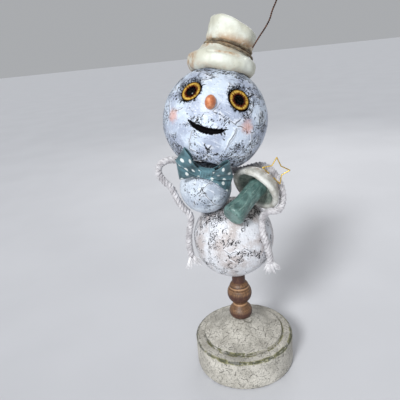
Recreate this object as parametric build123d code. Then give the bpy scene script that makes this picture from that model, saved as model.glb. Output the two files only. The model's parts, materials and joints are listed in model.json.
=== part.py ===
from build123d import *

import os
from math import cos, pi, radians, sin, sqrt, tan

# A wooden snowman figure that stands on a turned base: three painted balls, a clay hat,
# glass eyes, rope arms and a clay mushroom under one arm. Millimetres, +Z up, the face
# towards -Y, and the origin at the middle of the base's underside. Left and right are
# the viewer's, so left is -X.

# ---- Driving dimensions ----

base_radius = 50.0
base_height = 32.0
base_edge = 2.5
dome_radius = 40.0
dome_step = 3.5
dome_top = 51.5
dome_top_radius = 10.0
dome_hollow = (24.0, 41.5)

spindle_x = -1.0
spindle_tenon_radius = 6.0
spindle_tenon_bottom = 14.0
spindle_top = 118.0
# Turned shapes of the spindle from the bottom up, each point as (radius, height).
bead_start = (8.6, dome_top)
bead_widest = (11.6, 57.0)
bead_end = (9.6, 62.5)
ring_low = (6.9, 65.6)
ring_widest = (7.4, 66.5)
ring_high = (6.9, 67.4)
urn_start = (7.6, 69.2)
urn_widest = (12.2, 79.0)
urn_groove_low = (10.9, 84.0)
urn_groove_high = (9.9, 84.6)
urn_shoulder = (9.3, 87.6)
neck_radius = 6.5
neck_start = (neck_radius, 91.0)

lower_centre = Vector(-2.6, 0, 140.6)
lower_radius = 38.0
torso_centre = Vector(-24.9, -6.0, 194.9)
torso_radius = 23.5
head_centre = Vector(-10.9, 0, 252.9)
head_radius = 45.4

head_turn = -8.0
head_tilt_back = 16.0
head_roll = 15.0
head_flat = 37.0
head_flat_edge = 5.0

dowel_radius = 4.0
dowel_length = 34.0
fit_gap = 0.05

eye_azimuth = 29.5
eye_elevation = 21.5
eye_radius = 9.0
eye_socket_radius = 10.6
eye_socket_depth = 4.0
iris_thickness = 1.0
glass_wall = 1.6
glass_top = 2.0

nose_azimuth = -1.5
nose_elevation = 10.5
nose_half_sizes = (4.3, 5.6, 6.0)
nose_shank_radius = 1.5
nose_shank_length = 8.0

mouth_left = (-17.3, -6.8)
mouth_right = (16.0, -9.0)
mouth_bottom = (-5.0, -14.3)
mouth_top = (-1.0, -10.9)
mouth_depth = 2.2

brim_offset = -1.4
brim_tilt = -3.0
brim_bottom = 38.0
brim_top = 61.5
# The brim's outline from its underside up to the waist, each point as (radius, height).
brim_seat = (22.5, brim_bottom)
brim_under = (27.8, 41.0)
brim_widest = (29.5, 46.5)
brim_over = (29.1, 50.3)
brim_shoulder = (27.2, 53.0)
brim_slope = (22.3, 56.6)
brim_waist = (19.0, brim_top)
waist_radius = 18.0
crown_swell = (20.1, 65.0)
crown_radius = 20.9
crown_belly = 69.5
crown_top = 82.0
crown_slope = 15.0
crown_blank_top = 91.0
crown_edge = 4.5

twine_radius = 1.1
# Each turn of twine: its own radius, its height on the hat and its tilt in degrees.
twine_turns = [(19.6, 62.6, 4.0), (21.4, 59.1, 7.5)]

wire_radius = 0.7
hat_wire_route = [
    (25.0, 0, 309.0),
    (30.5, 0, 316.5),
    (36.0, 0, 323.0),
    (40.5, 0, 329.5),
    (42.5, 0, 336.0),
    (46.5, 0, 343.0),
    (49.0, 0, 351.0),
    (54.0, 0, 354.5),
    (57.0, 0, 350.0),
]
hat_wire_bend = 2.5

bow_centre = Vector(-23.7, -25.5, 216.0)
bow_lean = 18.0
bow_roll = 15.0
bow_thickness = 7.0
bow_corner = 1.5
knot_width = 13.0
knot_height = 12.0
knot_depth = 9.0
knot_edge = 3.0
left_loop_outline = [
    (-6.7, 4.5),
    (-11.5, 8.5),
    (-17.0, 17.5),
    (-21.5, 19.5),
    (-27.0, 9.5),
    (-25.8, -5.0),
    (-20.6, -12.0),
    (-6.7, -5.5),
]
right_loop_outline = [
    (6.7, 5.2),
    (15.3, 14.3),
    (20.5, 11.5),
    (24.9, 1.0),
    (25.0, -9.5),
    (22.5, -16.0),
    (6.7, -6.0),
]
bow_gap = 0.3

rope_radius = 3.2
hand_swing = 60.0
fray_radius = 5.0
fray_length = 9.0
# Each arm is one rope: glued behind the neck, out to the elbow and back to the hip, where
# it is glued again. The hand hangs from there, and its frayed end is a tuft. The hip lies
# halfway along the straight run between the two lists.
left_arm_route = [
    (-17.0, 18.0, 206.0),
    (-29.5, 16.5, 210.8),
    (-39.0, 8.0, 215.3),
    (-45.5, -0.5, 220.0),
    (-55.0, -2.5, 223.0),
    (-63.5, -2.0, 220.0),
    (-66.5, -3.0, 212.0),
    (-62.5, -4.5, 204.5),
    (-55.5, -5.0, 197.5),
    (-52.5, -6.5, 187.5),
    (-48.0, -6.0, 177.5),
    (-40.0, -6.0, 168.5),
]
left_hand_route = [
    (-44.3, -4.9, 153.0),
    (-45.6, -5.0, 145.5),
    (-46.2, -4.0, 135.0),
    (-44.8, -4.0, 125.5),
]
right_arm_route = [
    (-8.5, 15.5, 204.2),
    (0.0, 10.6, 203.4),
    (9.0, 5.4, 204.0),
    (18.0, 3.2, 206.4),
    (27.5, 0.5, 208.8),
    (35.5, -3.5, 205.0),
    (40.5, -9.0, 196.5),
    (42.8, -15.0, 187.5),
    (42.0, -20.8, 178.8),
    (37.2, -24.8, 171.4),
    (27.5, -22.5, 172.3),
    (21.8, -23.9, 167.2),
]
right_hand_route = [
    (20.4, -31.0, 156.5),
    (21.4, -32.5, 150.5),
    (24.0, -32.5, 141.5),
    (26.0, -29.5, 132.5),
    (27.0, -27.5, 123.5),
]

mushroom_foot = Vector(-5.6, -35.6, 175.1)
mushroom_axis = Vector(27.3, 23.1, 17.9).normalized()
# The stem's outline from the foot up, each point as (radius, height).
stem_foot = (7.4, 0)
stem_foot_edge = (9.5, 0.9)
stem_widest = (10.4, 3.2)
stem_narrows = (8.8, 13.0)
stem_waist = (8.3, 24.0)
stem_top_radius = 8.8
cap_radius = 23.6
cap_mouth_radius = 18.0
cap_rim = 36.0
cap_lip_bottom = 33.0
cap_hollow = (14.4, 39.4)
cap_hollow_radius = 9.3
cap_ceiling = 41.0
cap_apex = 53.0
pin_radius = 1.2
pin_depth = 12.0
pin_start_height = 6.0
pin_stem_depth = 5.0

star_centre = Vector(36.4, -21.0, 207.3)
star_radius = 12.2
star_inner_radius = 6.2
star_wire_radius = 0.5
# Directions of the five points, in degrees up from +X. The wire was bent by hand.
star_point_angles = [84.0, 158.0, 222.0, 285.0, 358.0]

# ---- Frames ----

head_frame = (
    Pos(head_centre.X, head_centre.Y, head_centre.Z)
    * Rot(Z=head_turn)
    * Rot(X=-head_tilt_back)
    * Rot(Y=head_roll)
)
# Just clear of the corner where the swung hand would meet the arm.
hip_cup_radius = rope_radius / cos(radians(hand_swing / 2)) + fit_gap
bow_frame = (
    Pos(bow_centre.X, bow_centre.Y, bow_centre.Z) * Rot(X=bow_lean) * Rot(Y=bow_roll)
)
mushroom_frame = Plane(origin=mushroom_foot, z_dir=mushroom_axis).location

head_up = (Plane(head_frame)).z_dir
head_flat_centre = head_centre - head_up * head_flat
neck_distance = (head_flat_centre - torso_centre).dot(head_up)
neck_frame = Plane(origin=torso_centre + head_up * neck_distance, z_dir=head_up).location

waist_line = torso_centre - lower_centre
waist_distance = (
    waist_line.length**2 + lower_radius**2 - torso_radius**2
) / (2 * waist_line.length)
waist_frame = Plane(
    origin=lower_centre + waist_line.normalized() * waist_distance,
    z_dir=waist_line,
).location


# ---- Shared shapes ----


def moved_to(shape, point):
    """The shape moved so that its own origin lies at the point."""
    return Pos(point.X, point.Y, point.Z) * shape


def revolved(outline):
    """Solid turned about +Z from a closed outline drawn as (radius, height)."""
    return revolve(Plane.XZ * make_face(outline), Axis.Z)


def dome_arc(radius, low, top):
    """Arc from a rim of this radius up to the axis, which it meets squarely."""
    rise = top - low
    bend = (radius**2 + rise**2) / (2 * rise)
    middle = radius / 2
    crown = top - bend + sqrt(bend**2 - middle**2)
    return ThreePointArc((radius, low), (middle, crown), (0, top))


def cylinder_between(low, high, radius):
    """Cylinder on +Z from one height to another."""
    return Pos(Z=(low + high) / 2) * Cylinder(radius, high - low)


def half_space(above):
    """Large block on +Z, or under it, whose face lies on the XY plane."""
    size = 4 * head_radius
    shift = size / 2 if above else -size / 2
    return Pos(Z=shift) * Box(size, size, size)


def on_head(azimuth, elevation):
    """Frame on the head's surface, in the head's own axes, with +Z pointing outwards."""
    turn = radians(azimuth)
    lift = radians(elevation)
    outward = Vector(sin(turn) * cos(lift), -cos(turn) * cos(lift), sin(lift))
    across = Vector(cos(turn), sin(turn), 0)
    return Plane(origin=outward * head_radius, x_dir=across, z_dir=outward).location


def wire_between(start, end, radius):
    """Straight round wire from one point to another."""
    run = end - start
    frame = Plane(origin=start, z_dir=run).location
    return frame * cylinder_between(0, run.length, radius)


# ---- Base and spindle ----


def base_drum():
    """Round block with eased edges and a socket for the spindle."""
    drum = cylinder_between(0, base_height, base_radius)
    drum = fillet(drum.edges().filter_by(GeomType.CIRCLE), base_edge)
    socket = cylinder_between(
        spindle_tenon_bottom, base_height, spindle_tenon_radius + fit_gap
    )
    return drum - Pos(X=spindle_x) * socket


def base_dome():
    """Raised disc whose top sweeps up in a shallow hollow curve to the spindle's foot."""
    rim_height = base_height + dome_step
    outline = (
        Polyline(
            (0, dome_top),
            (0, base_height),
            (dome_radius, base_height),
            (dome_radius, rim_height),
        )
        + ThreePointArc(
            (dome_radius, rim_height), dome_hollow, (dome_top_radius, dome_top)
        )
        + Line((dome_top_radius, dome_top), (0, dome_top))
    )
    bore = cylinder_between(base_height, dome_top, spindle_tenon_radius + fit_gap)
    return Pos(X=spindle_x / 2) * revolved(outline) - Pos(X=spindle_x) * bore


def spindle():
    """Turned post: tenon, bead, cove with a ring, urn with a cut groove, and a neck."""
    outline = (
        Polyline(
            (0, spindle_top),
            (0, spindle_tenon_bottom),
            (spindle_tenon_radius, spindle_tenon_bottom),
            (spindle_tenon_radius, dome_top),
            bead_start,
        )
        + ThreePointArc(bead_start, bead_widest, bead_end)
        + Line(bead_end, ring_low)
        + ThreePointArc(ring_low, ring_widest, ring_high)
        + Line(ring_high, urn_start)
        + ThreePointArc(urn_start, urn_widest, urn_groove_low)
        + Line(urn_groove_low, urn_groove_high)
        + ThreePointArc(urn_groove_high, urn_shoulder, neck_start)
        + Polyline(neck_start, (neck_radius, spindle_top), (0, spindle_top))
    )
    return Pos(X=spindle_x) * revolved(outline)


# ---- Balls and dowels ----


def dowel(gap):
    """Plain dowel centred on the joint between two balls."""
    return Cylinder(dowel_radius + gap, dowel_length + 2 * gap)


def lower_ball():
    ball = moved_to(Sphere(lower_radius), lower_centre)
    ball -= waist_frame * half_space(above=True)
    ball -= waist_frame * dowel(fit_gap)
    ball -= Pos(X=spindle_x) * cylinder_between(
        0, spindle_top, neck_radius + fit_gap
    )
    return ball - mushroom_pin(fit_gap)


def torso_ball():
    ball = moved_to(Sphere(torso_radius), torso_centre)
    ball -= waist_frame * half_space(above=False)
    ball -= neck_frame * half_space(above=True)
    return ball - waist_frame * dowel(fit_gap) - neck_frame * dowel(fit_gap)


def head_ball():
    """Head with a flat, eased underside, eye sockets, a nose hole and a carved mouth."""
    ball = Sphere(head_radius) - Pos(Z=-head_flat) * half_space(above=False)
    ball = fillet(ball.faces().sort_by(Axis.Z)[0].edges(), head_flat_edge)
    socket = Cylinder(eye_socket_radius, 2 * eye_socket_depth)
    for azimuth in (-eye_azimuth, eye_azimuth):
        ball -= on_head(azimuth, eye_elevation) * socket
    ball -= on_head(nose_azimuth, nose_elevation) * nose_shank(fit_gap)
    ball -= mouth_groove()
    return head_frame * ball - neck_frame * dowel(fit_gap)


def mouth_groove():
    """Crescent between two arcs, cut a little way into the ball all along."""
    crescent = make_face(
        ThreePointArc(mouth_left, mouth_bottom, mouth_right)
        + ThreePointArc(mouth_right, mouth_top, mouth_left)
    )
    prism = extrude(Plane.XZ * crescent, head_radius + mouth_depth)
    return prism - Sphere(head_radius - mouth_depth)


# ---- Face ----


def eye_iris(azimuth):
    """Painted disc at the bottom of the eye's socket."""
    low = -eye_socket_depth
    disc = cylinder_between(low, low + iris_thickness, eye_radius)
    return head_frame * on_head(azimuth, eye_elevation) * disc


def eye_glass(azimuth):
    """Domed glass over the iris, flat behind."""
    low = iris_thickness - eye_socket_depth
    shoulder = low + glass_wall
    outline = Polyline(
        (0, glass_top), (0, low), (eye_radius, low), (eye_radius, shoulder)
    ) + dome_arc(eye_radius, shoulder, glass_top)
    return head_frame * on_head(azimuth, eye_elevation) * revolved(outline)


def nose_shank(gap):
    """Peg behind the nose, on +Z, from inside the head up to its surface."""
    return cylinder_between(-nose_shank_length - gap, 2.0, nose_shank_radius + gap)


def nose():
    """Small egg on a shank, its back hollowed to sit on the head."""
    egg = Pos(Z=1.0) * scale(Sphere(1), by=nose_half_sizes)
    surface = Pos(Z=-head_radius) * Sphere(head_radius)
    return (
        head_frame
        * on_head(nose_azimuth, nose_elevation)
        * (egg - surface + nose_shank(0))
    )


# ---- Hat ----


def twine_ring(turn, gap):
    """One turn of twine about the hat's waist."""
    radius, height, tilt = turn
    return Pos(brim_offset / 4, 0, height) * Rot(Y=tilt) * Torus(radius, twine_radius + gap)


def hat_brim():
    """Thick bowl-shaped brim, seated on the head, closing in to the hat's waist."""
    outline = (
        Polyline((0, brim_top), (0, brim_bottom), brim_seat)
        + ThreePointArc(brim_seat, brim_under, brim_widest)
        + ThreePointArc(brim_widest, brim_over, brim_shoulder)
        + ThreePointArc(brim_shoulder, brim_slope, brim_waist)
        + Line(brim_waist, (0, brim_top))
    )
    brim = Pos(X=brim_offset) * Rot(Y=brim_tilt) * revolved(outline)
    brim -= Sphere(head_radius + fit_gap)
    brim -= Pos(Z=brim_top) * half_space(above=True)
    for turn in twine_turns:
        brim -= twine_ring(turn, fit_gap)
    return head_frame * brim


def hat_crown():
    """Soft drum that swells above the waist, with a sloping top."""
    outline = (
        Polyline((0, crown_blank_top), (0, brim_top), (waist_radius, brim_top))
        + ThreePointArc(
            (waist_radius, brim_top), crown_swell, (crown_radius, crown_belly)
        )
        + Polyline(
            (crown_radius, crown_belly),
            (crown_radius, crown_blank_top),
            (0, crown_blank_top),
        )
    )
    crown = revolved(outline)
    crown -= Pos(Z=crown_top) * Rot(Y=crown_slope) * half_space(above=True)
    crown = fillet(crown.faces().sort_by(Axis.Z)[-1].edges(), crown_edge)
    for turn in twine_turns:
        crown -= twine_ring(turn, fit_gap)
    return head_frame * crown - hat_wire()


def hat_twine():
    """Twine wound twice around the waist, closer together on the left."""
    return head_frame * Compound([twine_ring(turn, 0) for turn in twine_turns])


def hat_wire():
    """Stiff wire, crooked by hand, stuck in the crown's side and curled at its end."""
    path = FilletPolyline(*hat_wire_route, radius=hat_wire_bend)
    return sweep(Plane(origin=path @ 0, z_dir=path % 0) * Circle(wire_radius), path)


# ---- Bow tie ----


def bow_loop(outline):
    """One flattened loop of ribbon, kept clear of the two balls behind it."""
    face = make_face(Polyline(*outline, close=True))
    face = Plane.XZ * fillet(face.vertices(), bow_corner)
    loop = bow_frame * Pos(Y=bow_thickness / 2) * extrude(face, bow_thickness)
    loop -= moved_to(Sphere(head_radius + bow_gap), head_centre)
    return loop - moved_to(Sphere(torso_radius + bow_gap), torso_centre)


def bow_knot():
    knot = Box(knot_width, knot_depth, knot_height)
    knot = bow_frame * fillet(knot.edges(), knot_edge)
    knot -= moved_to(Sphere(head_radius + bow_gap), head_centre)
    return knot - moved_to(Sphere(torso_radius + bow_gap), torso_centre)


# ---- Rope arms ----


def rope(name, route):
    """Rope along straight runs joined by arcs, each as large as its two runs allow."""
    points = [Vector(*point) for point in route]
    radii = []
    for before, corner, after in zip(points, points[1:], points[2:]):
        run_in = corner - before
        run_out = after - corner
        half_turn = radians(run_in.get_angle(run_out)) / 2
        radii.append(0.45 * min(run_in.length, run_out.length) / tan(half_turn))
    path = FilletPolyline(*points, radius=radii)
    section = Plane(origin=path @ 0, z_dir=path % 0) * Circle(rope_radius)
    tube = sweep(section, path)
    full_volume = pi * rope_radius**2 * path.length
    print(
        name,
        f"length {path.length:.1f} mm, volume / (section x length)",
        f"{tube.volume / full_volume:.4f}, arc radii",
        [round(radius, 1) for radius in radii],
    )
    return tube


def fray(route):
    """Tuft that widens from the rope's end, in line with its last run."""
    end = Vector(*route[-1])
    run = end - Vector(*route[-2])
    tuft = Pos(Z=fray_length / 2) * Cone(rope_radius, fray_radius, fray_length)
    return Plane(origin=end, z_dir=run).location * tuft


# ---- Mushroom and star ----


def mushroom_stem():
    """Stem that narrows a little from a rounded foot and widens again under the cap."""
    stem = revolved(
        Polyline((0, cap_ceiling), (0, 0), stem_foot)
        + ThreePointArc(stem_foot, stem_foot_edge, stem_widest)
        + ThreePointArc(stem_widest, stem_narrows, stem_waist)
        + Polyline(stem_waist, (stem_top_radius, cap_ceiling), (0, cap_ceiling))
    )
    return mushroom_frame * stem - mushroom_pin(fit_gap)


def mushroom_cap():
    """Hollow cap with a thick rolled lip."""
    lip_middle = (cap_radius + cap_mouth_radius) / 2
    cap = revolved(
        Line((0, cap_ceiling), (cap_hollow_radius, cap_ceiling))
        + ThreePointArc(
            (cap_hollow_radius, cap_ceiling), cap_hollow, (cap_mouth_radius, cap_rim)
        )
        + ThreePointArc(
            (cap_mouth_radius, cap_rim), (lip_middle, cap_lip_bottom), (cap_radius, cap_rim)
        )
        + dome_arc(cap_radius, cap_rim, cap_apex)
        + Line((0, cap_apex), (0, cap_ceiling))
    )
    return mushroom_frame * cap - star_wire(fit_gap)


def mushroom_pin(gap):
    """Wire pin that holds the stem off the lower ball, hidden behind the stem."""
    start = mushroom_foot + mushroom_axis * pin_start_height
    inward = (lower_centre - start).normalized()
    surface_distance = (lower_centre - start).length - lower_radius
    return wire_between(
        start + inward * (pin_stem_depth - gap),
        start + inward * (surface_distance + pin_depth + gap),
        pin_radius + gap,
    )


def star_corner(degrees, reach):
    """Point of the star's plane at this distance and direction from its middle."""
    angle = radians(degrees)
    return star_centre + Vector(cos(angle), 0, sin(angle)) * reach


def star_wire(gap=0.0):
    """Five-pointed outline star of one bent wire, its lower left point set in the cap."""
    following_angles = star_point_angles[1:] + [star_point_angles[0] + 360]
    corners = []
    for angle, following in zip(star_point_angles, following_angles):
        corners.append(star_corner(angle, star_radius))
        corners.append(star_corner((angle + following) / 2, star_inner_radius))
    radius = star_wire_radius + gap
    star = moved_to(Sphere(radius), corners[0])
    for start, end in zip(corners, corners[1:] + corners[:1]):
        star += wire_between(start, end, radius)
        if start is not corners[0]:
            star += moved_to(Sphere(radius), start)
    return star


# ---- Parts ----

parts = {
    "base_drum": base_drum(),
    "base_dome": base_dome(),
    "spindle": spindle(),
    "lower_ball": lower_ball(),
    "waist_dowel": waist_frame * dowel(0),
    "torso_ball": torso_ball(),
    "neck_dowel": neck_frame * dowel(0),
    "head_ball": head_ball(),
    "nose": nose(),
    "hat_brim": hat_brim(),
    "hat_crown": hat_crown(),
    "hat_twine": hat_twine(),
    "hat_wire": hat_wire(),
    "bow_loop_left": bow_loop(left_loop_outline),
    "bow_loop_right": bow_loop(right_loop_outline),
    "bow_knot": bow_knot(),
    "mushroom_stem": mushroom_stem(),
    "mushroom_cap": mushroom_cap(),
    "mushroom_pin": mushroom_pin(0),
    "star_wire": star_wire(),
}
for side, azimuth in (("left", -eye_azimuth), ("right", eye_azimuth)):
    parts[f"eye_iris_{side}"] = eye_iris(azimuth)
    parts[f"eye_glass_{side}"] = eye_glass(azimuth)
for side, arm_route, hand_route in (
    ("left", left_arm_route, left_hand_route),
    ("right", right_arm_route, right_hand_route),
):
    hip = (Vector(*arm_route[-1]) + Vector(*hand_route[0])) / 2
    arm = rope(f"{side} arm", arm_route + [tuple(hip)])
    hand = rope(f"{side} hand", [tuple(hip)] + hand_route)
    parts[f"{side}_arm_rope"] = arm - moved_to(Sphere(hip_cup_radius), hip)
    parts[f"{side}_hand_rope"] = hand + moved_to(Sphere(rope_radius), hip)
    parts[f"{side}_hand_fray"] = fray(hand_route)

os.makedirs("parts", exist_ok=True)
for name, shape in parts.items():
    export_step(shape, f"parts/{name}.step")
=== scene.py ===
import json
import math
import random

import bpy
from mathutils import Matrix, Vector, noise

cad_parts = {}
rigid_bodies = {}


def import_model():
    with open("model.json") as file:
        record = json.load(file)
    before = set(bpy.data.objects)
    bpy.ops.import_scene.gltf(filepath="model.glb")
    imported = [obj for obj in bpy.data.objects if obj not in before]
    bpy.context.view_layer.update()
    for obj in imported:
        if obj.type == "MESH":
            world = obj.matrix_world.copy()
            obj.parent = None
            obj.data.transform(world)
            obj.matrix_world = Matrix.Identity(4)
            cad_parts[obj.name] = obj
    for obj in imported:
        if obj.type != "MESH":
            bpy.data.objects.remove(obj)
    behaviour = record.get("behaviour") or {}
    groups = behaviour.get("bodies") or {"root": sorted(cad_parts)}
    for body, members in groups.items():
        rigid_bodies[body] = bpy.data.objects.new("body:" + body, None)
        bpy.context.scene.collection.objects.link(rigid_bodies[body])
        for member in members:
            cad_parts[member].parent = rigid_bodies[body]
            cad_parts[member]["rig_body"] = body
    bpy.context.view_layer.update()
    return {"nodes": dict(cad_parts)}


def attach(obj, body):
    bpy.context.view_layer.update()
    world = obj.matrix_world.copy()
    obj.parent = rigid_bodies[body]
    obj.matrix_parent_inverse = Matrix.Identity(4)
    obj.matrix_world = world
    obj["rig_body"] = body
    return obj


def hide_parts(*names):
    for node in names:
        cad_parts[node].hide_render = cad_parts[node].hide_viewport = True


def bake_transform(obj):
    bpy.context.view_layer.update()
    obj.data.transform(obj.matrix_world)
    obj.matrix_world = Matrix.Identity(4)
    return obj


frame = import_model()

# The wooden snowman figure with its finishes and its soft and worn pieces. Lengths in the
# lists below are millimetres, as in the part's own source, and become metres where a
# Blender object is made. Left and right are the viewer's.

MM = 0.001

# ---- Shared values ----

camera_place = (-31.2, -368.5, 311.2)
camera_lens = 37.8
camera_tilt = 19.48
camera_roll = -5.93

head_centre = (-10.9, 0, 252.9)
head_radius = 45.4
torso_centre = (-24.9, -6.0, 194.9)
torso_radius = 23.5
base_radius = 50.0
base_height = 32.0
dome_radius = 40.0
eye_azimuth = 29.5
eye_elevation = 21.5
# Three points on each edge of the mouth, as (sideways, height) from the head's middle.
mouth_upper_edge = [(-17.8, -6.2), (-1.0, -10.4), (16.6, -8.5)]
mouth_lower_edge = [(-17.8, -6.2), (-5.0, -15.2), (16.6, -8.5)]

strand_count = 4
strand_radius = 1.3
strand_offset = 1.8
# Lengths of rope in which the strands, and the yarns in each strand, go round once.
strand_turn = 15.0
yarn_turn = -3.6
left_arm_route = [
    (-17.0, 18.0, 206.0),
    (-29.5, 16.5, 210.8),
    (-39.0, 8.0, 215.3),
    (-45.5, -0.5, 220.0),
    (-55.0, -2.5, 223.0),
    (-63.5, -2.0, 220.0),
    (-66.5, -3.0, 212.0),
    (-62.5, -4.5, 204.5),
    (-55.5, -5.0, 197.5),
    (-52.5, -6.5, 187.5),
    (-48.0, -6.0, 177.5),
    (-40.0, -6.0, 168.5),
    (-44.3, -4.9, 153.0),
    (-45.6, -5.0, 145.5),
    (-46.2, -4.0, 135.0),
    (-44.8, -4.0, 125.5),
]
right_arm_route = [
    (-8.5, 15.5, 204.2),
    (0.0, 10.6, 203.4),
    (9.0, 5.4, 204.0),
    (18.0, 3.2, 206.4),
    (27.5, 0.5, 208.8),
    (35.5, -3.5, 205.0),
    (40.5, -9.0, 196.5),
    (42.8, -15.0, 187.5),
    (42.0, -20.8, 178.8),
    (37.2, -24.8, 171.4),
    (27.5, -22.5, 172.3),
    (21.8, -23.9, 167.2),
    (20.4, -31.0, 156.5),
    (21.4, -32.5, 150.5),
    (24.0, -32.5, 141.5),
    (26.0, -29.5, 132.5),
    (27.0, -27.5, 123.5),
]
# Each turn of the twine round the hat, as (radius, height, tilt in degrees).
twine_turns = ((19.6, 62.6, 4.0), (21.4, 59.1, 7.5))
hat_wire_route = [
    (25.0, 0, 309.0),
    (30.5, 0, 316.5),
    (36.0, 0, 323.0),
    (40.5, 0, 329.5),
    (42.5, 0, 336.0),
    (46.5, 0, 343.0),
    (49.0, 0, 351.0),
    (54.0, 0, 354.5),
    (57.0, 0, 350.0),
]


def turned(axis, degrees):
    return Matrix.Rotation(math.radians(degrees), 4, axis)


def placed(point):
    return Matrix.Translation(Vector(point))


head = placed(head_centre) @ turned("Z", -8) @ turned("X", -16) @ turned("Y", 15)


def new_object(name, data):
    """Object that holds the data, added to the scene."""
    holder = bpy.data.objects.new(name, data)
    bpy.context.scene.collection.objects.link(holder)
    return holder


# ---- Camera, light and floor ----


def add_camera():
    """Looks a little down on the figure, rolled as a camera held by hand is."""
    camera = bpy.data.cameras.new("camera")
    camera.lens = camera_lens
    camera.sensor_width = 36
    holder = new_object("camera", camera)
    view = placed(Vector(camera_place) * MM)
    holder.matrix_world = view @ turned("X", 90 - camera_tilt) @ turned("Z", camera_roll)
    bpy.context.scene.camera = holder


def add_lamp(name, kind, place, target, power, colour):
    """Lamp that points at the target. Both places are in metres."""
    lamp = bpy.data.lights.new(name, kind)
    lamp.energy = power
    lamp.color = colour
    holder = new_object(name, lamp)
    aim = (Vector(target) - Vector(place)).to_track_quat("-Z", "Y")
    holder.matrix_world = placed(place) @ aim.to_matrix().to_4x4()
    return lamp


def add_lamps():
    """A broad sun from the left front, and two soft square lamps, in front and behind."""
    middle = (-0.01, 0, 0.17)
    key = add_lamp("key", "SUN", (-0.5, -0.85, 0.72), (0, 0, 0), 2.7, (0.98, 0.99, 1.0))
    key.angle = math.radians(14)
    fill = add_lamp("fill", "AREA", (-0.1, -1.1, 0.12), middle, 3.5, (0.95, 0.97, 1.0))
    fill.size = 0.5
    back = add_lamp("back", "AREA", (0.3, 0.9, 0.8), middle, 3, (1.0, 0.98, 0.96))
    back.size = 0.7


def add_world():
    world = bpy.data.worlds.new("studio")
    world.use_nodes = True
    background = world.node_tree.nodes["Background"]
    background.inputs["Color"].default_value = (0.80, 0.82, 0.85, 1)
    background.inputs["Strength"].default_value = 0.5
    bpy.context.scene.world = world


# ---- Lines and tubes ----


def spline_points(name, route):
    """Points along the smooth NURBS line whose control points are the route's."""
    curve = bpy.data.curves.new(name, "CURVE")
    curve.dimensions = "3D"
    spline = curve.splines.new("NURBS")
    spline.points.add(len(route) - 1)
    for control, point in zip(spline.points, route):
        control.co = (*(Vector(point) * MM), 1)
    spline.order_u = 3
    spline.use_endpoint_u = True
    spline.resolution_u = 24
    holder = new_object(name, curve)
    bpy.context.view_layer.update()
    mesh = bpy.data.meshes.new_from_object(holder)
    points = [vertex.co / MM for vertex in mesh.vertices]
    bpy.data.objects.remove(holder)
    bpy.data.curves.remove(curve)
    bpy.data.meshes.remove(mesh)
    return points


def directions(points):
    """Unit direction of a line at each of its points."""
    last = len(points) - 1
    return [
        (points[min(i + 1, last)] - points[max(i - 1, 0)]).normalized()
        for i in range(len(points))
    ]


def sections(points):
    """Two axes across a line at each point, carried along it without twisting."""
    along = directions(points)
    side = along[0].orthogonal().normalized()
    axes = []
    for direction in along:
        side = (side - direction * side.dot(direction)).normalized()
        axes.append((side, direction.cross(side)))
    return axes


def distances(points):
    """Length of a line from its start to each of its points."""
    lengths = [0.0]
    for before, after in zip(points, points[1:]):
        lengths.append(lengths[-1] + (after - before).length)
    return lengths


def wound(points, offset, pitch, start=0.0):
    """Line that winds round another at this distance, once in each pitch."""
    wound_points = []
    for point, axes, length in zip(points, sections(points), distances(points)):
        angle = 2 * math.pi * (length / pitch + start)
        reach = axes[0] * math.cos(angle) + axes[1] * math.sin(angle)
        wound_points.append(point + reach * offset)
    return wound_points


def tube(points, radius, sides=8, lobes=0, lobe_height=0.0, lobe_pitch=1.0, taper=0.0):
    """Points and faces of a tube round a line, with spiral lobes where it's given any."""
    rows = []
    lengths = distances(points)
    for i, (point, axes) in enumerate(zip(points, sections(points))):
        share = lengths[i] / lengths[-1]
        row = []
        for side in range(sides):
            angle = 2 * math.pi * side / sides
            wave = math.cos(lobes * angle + 2 * math.pi * lengths[i] / lobe_pitch)
            reach = radius * (1 - taper * share) * (1 + lobe_height * wave)
            row.append(
                point + (axes[0] * math.cos(angle) + axes[1] * math.sin(angle)) * reach
            )
        rows.append(row)
    vertices = [vertex for row in rows for vertex in row]
    faces = []
    for i in range(len(rows) - 1):
        for side in range(sides):
            following = (side + 1) % sides
            low = i * sides
            high = low + sides
            faces.append((low + side, low + following, high + following, high + side))
    faces.append(tuple(reversed(range(sides))))
    faces.append(tuple(range(len(vertices) - sides, len(vertices))))
    return vertices, faces


def mesh_piece(name, parts, finish):
    """Smooth-shaded Blender object made from several lots of points and faces."""
    vertices = []
    faces = []
    for part_vertices, part_faces in parts:
        start = len(vertices)
        vertices += [Vector(vertex) * MM for vertex in part_vertices]
        faces += [tuple(start + index for index in face) for face in part_faces]
    mesh = bpy.data.meshes.new(name)
    mesh.from_pydata(vertices, [], faces)
    mesh.polygons.foreach_set("use_smooth", [True] * len(mesh.polygons))
    mesh.materials.append(finish)
    piece = new_object(name, mesh)
    return piece


# ---- Finishes ----


def paint(red, green, blue):
    """Shader colour from a screen colour of 0 to 255."""
    linear = [
        value / 255 / 12.92 if value < 11 else ((value / 255 + 0.055) / 1.055) ** 2.4
        for value in (red, green, blue)
    ]
    return (*linear, 1)


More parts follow.
